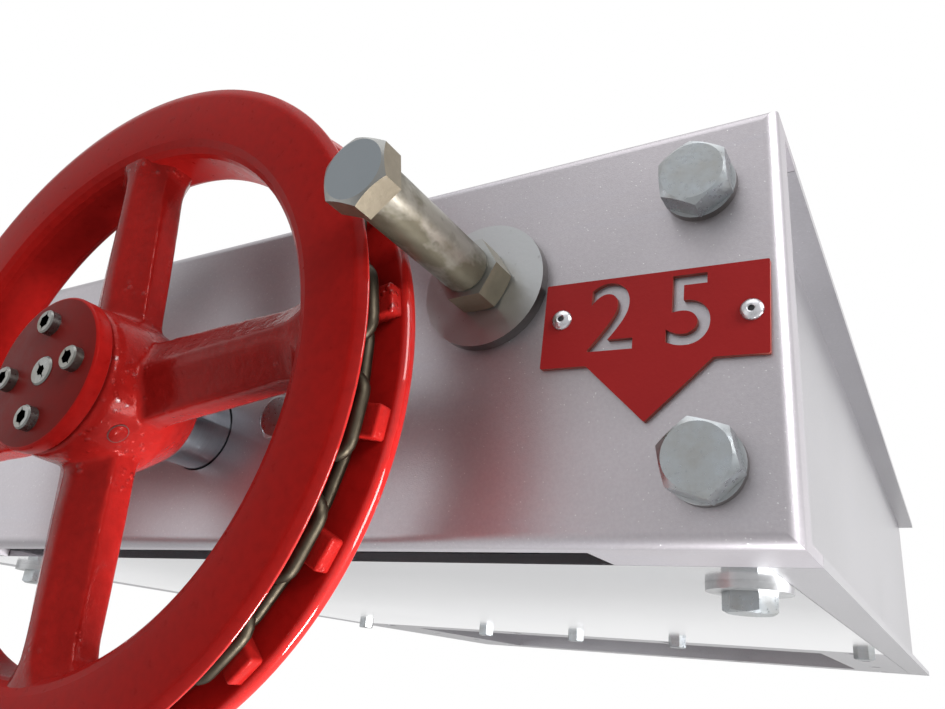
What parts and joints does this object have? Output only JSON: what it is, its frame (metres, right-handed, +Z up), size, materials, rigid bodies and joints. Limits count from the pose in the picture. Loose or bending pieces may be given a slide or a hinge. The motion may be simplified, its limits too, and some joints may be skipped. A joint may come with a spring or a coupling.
{
  "type": "slide gate",
  "caption": "Horizontal slide gate in a bolted steel frame, with a spindle turned by a spoked pocket wheel and a hand chain.",
  "frame": {"origin": "middle of the inlet flange's front bar, on its bolting face", "axes": "+Z up, normal to the inlet flange; +Y from the chain wheel to the passage, along the blade's travel; +X to the right seen from the wheel"},
  "size_m": [0.535, 0.871, 0.2924],
  "materials": {
    "frame_grey": "bead blasted stainless sheet",
    "zinc_steel": "zinc plated, dull",
    "sign_red": "satin red paint",
    "rivet_aluminium": "satin",
    "cast_iron": "as cast, dark",
    "wheel_red": "gloss red paint on a casting",
    "chain_steel": "zinc plated, worn",
    "bright_steel": "turned",
    "blade_steel": "ground plate",
    "nut_bronze": "machined"
  },
  "bodies": {
    "frame": {"yoke": "frame_grey", "side_rail_left": "frame_grey", "side_rail_right": "frame_grey", "bottom_cover": "frame_grey", "top_cover": "frame_grey", "inlet_flange": "frame_grey", "outlet_flange": "frame_grey", "inlet_duct": "frame_grey", "outlet_duct": "frame_grey", "rear_plate": "frame_grey", "lower_cross_plate": "frame_grey", "upper_cross_plate": "frame_grey", "lower_guide_left": "frame_grey", "lower_guide_right": "frame_grey", "upper_guide_left": "frame_grey", "upper_guide_right": "frame_grey", "bearing_housing": "cast_iron", "bearing_bolts": "zinc_steel", "bearing_washers": "zinc_steel", "yoke_bolts": "zinc_steel", "yoke_washers": "zinc_steel", "keeper_bolts": "zinc_steel", "keeper_nuts": "zinc_steel", "keeper_washers": "zinc_steel", "sign_left": "sign_red", "sign_right": "sign_red", "sign_rivets": "rivet_aluminium", "cover_bolts": "zinc_steel", "cover_washers": "zinc_steel", "cross_plate_bolts": "zinc_steel"},
    "drive": {"chain_wheel": "wheel_red", "hub_pin": "wheel_red", "hub_cap": "wheel_red", "cap_screws": "zinc_steel", "centre_screw": "zinc_steel", "hand_chain": "chain_steel", "spindle": "bright_steel", "thrust_collar": "bright_steel", "hub_spacer": "bright_steel"},
    "blade": {"blade": "blade_steel", "crosshead": "blade_steel", "spindle_nut": "nut_bronze"}
  },
  "joints": [
    {"name": "wheel_turn", "type": "hinge", "parent": "frame", "child": "drive", "pos_m": [0, -0.4875, -0.1058], "axis": [0, 1, 0], "range_deg": [0, 7650]},
    {"name": "blade_slide", "type": "slide", "parent": "frame", "child": "blade", "axis": [0, 1, 0], "range_m": [0, 0.2551]}
  ],
  "couplings": [
    {"joint": "blade_slide", "follows": "wheel_turn", "m_per_rad": 0.0019099}
  ]
}
